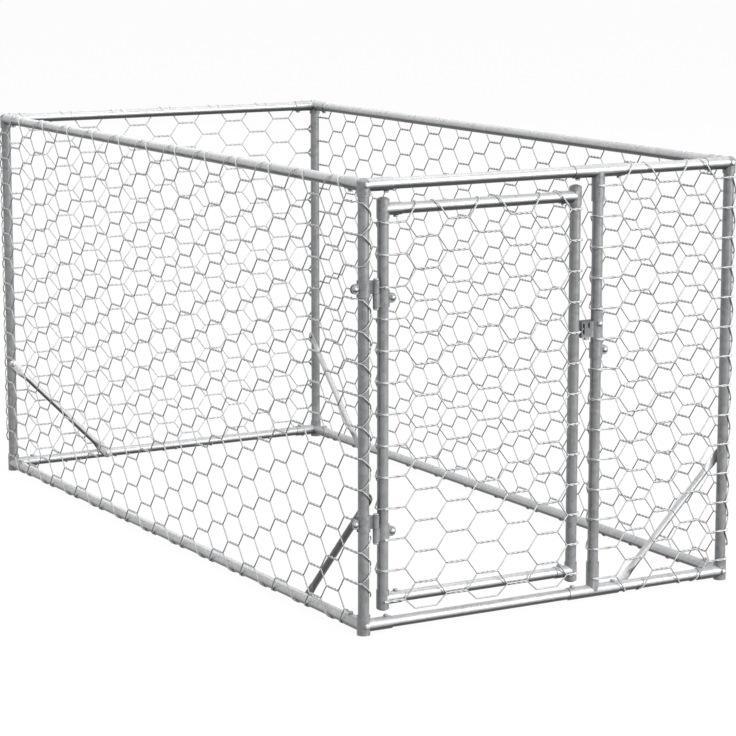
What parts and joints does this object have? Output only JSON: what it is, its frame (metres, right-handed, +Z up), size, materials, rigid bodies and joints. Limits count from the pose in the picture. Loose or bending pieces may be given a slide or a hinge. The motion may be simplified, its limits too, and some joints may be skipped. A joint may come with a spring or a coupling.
{
  "type": "outdoor dog kennel run",
  "caption": "Open-topped dog run: a galvanised tube frame with hexagonal wire netting on its sides, a hinged netting door and a slide-bolt latch.",
  "frame": {"origin": "on the ground, in the middle of the frame", "axes": "+Y along the length, away from the door; +Z up; +X to the right as seen from the door"},
  "size_m": [1.0185, 2.0081, 1],
  "materials": {
    "galvanised_tube": "hot-dip galvanised, satin with a faint spangle",
    "zinc_fittings": "galvanised, slightly duller than the tube",
    "bright_hardware": "bright zinc plate",
    "wire_netting": "galvanised wire, bright"
  },
  "bodies": {
    "frame": {"post_front_left": "galvanised_tube", "post_front_right": "galvanised_tube", "post_rear_left": "galvanised_tube", "post_rear_right": "galvanised_tube", "post_latch": "galvanised_tube", "rail_top_left": "galvanised_tube", "rail_top_right": "galvanised_tube", "rail_top_rear": "galvanised_tube", "rail_top_door": "galvanised_tube", "rail_top_side": "galvanised_tube", "rail_low_left": "galvanised_tube", "rail_low_right": "galvanised_tube", "rail_low_rear": "galvanised_tube", "rail_low_door": "galvanised_tube", "rail_low_side": "galvanised_tube", "corner_top_front_left": "zinc_fittings", "corner_top_front_right": "zinc_fittings", "corner_top_rear_left": "zinc_fittings", "corner_top_rear_right": "zinc_fittings", "corner_low_front_left": "zinc_fittings", "corner_low_front_right": "zinc_fittings", "corner_low_rear_left": "zinc_fittings", "corner_low_rear_right": "zinc_fittings", "tee_top": "zinc_fittings", "tee_low": "zinc_fittings", "brace_left": "galvanised_tube", "brace_front": "galvanised_tube", "brace_right": "galvanised_tube", "brace_rear": "galvanised_tube", "net_left": "wire_netting", "net_right": "wire_netting", "net_rear": "wire_netting", "net_side": "wire_netting", "hinge_post_band_upper": "zinc_fittings", "hinge_post_band_lower": "zinc_fittings", "hinge_pins": "bright_hardware", "latch_bracket": "zinc_fittings", "latch_stop_band": "zinc_fittings", "rail_screws": "bright_hardware", "post_bolts": "bright_hardware", "brace_screws": "bright_hardware", "frame_clamp_bolts": "bright_hardware", "frame_nuts": "bright_hardware", "latch_bracket_bolt": "bright_hardware"},
    "door": {"net_door": "wire_netting", "door_hinge_stile": "galvanised_tube", "door_latch_stile": "galvanised_tube", "door_rail_top": "galvanised_tube", "door_rail_low": "galvanised_tube", "door_corner_top_hinge": "zinc_fittings", "door_corner_top_latch": "zinc_fittings", "door_corner_low_hinge": "zinc_fittings", "door_corner_low_latch": "zinc_fittings", "hinge_door_band_upper": "zinc_fittings", "hinge_door_band_lower": "zinc_fittings", "door_screws": "bright_hardware", "door_clamp_bolts": "bright_hardware", "door_nuts": "bright_hardware"},
    "latch_bolt": {"latch_slide_bolt": "bright_hardware"}
  },
  "joints": [
    {"name": "door_swing", "type": "hinge", "parent": "frame", "child": "door", "pos_m": [-0.461, -0.997, 0.5], "axis": [0, 0, -1], "range_deg": [0, 120]},
    {"name": "latch_slide", "type": "slide", "parent": "frame", "child": "latch_bolt", "axis": [-1, 0, 0], "range_m": [0, 0.014]}
  ]
}
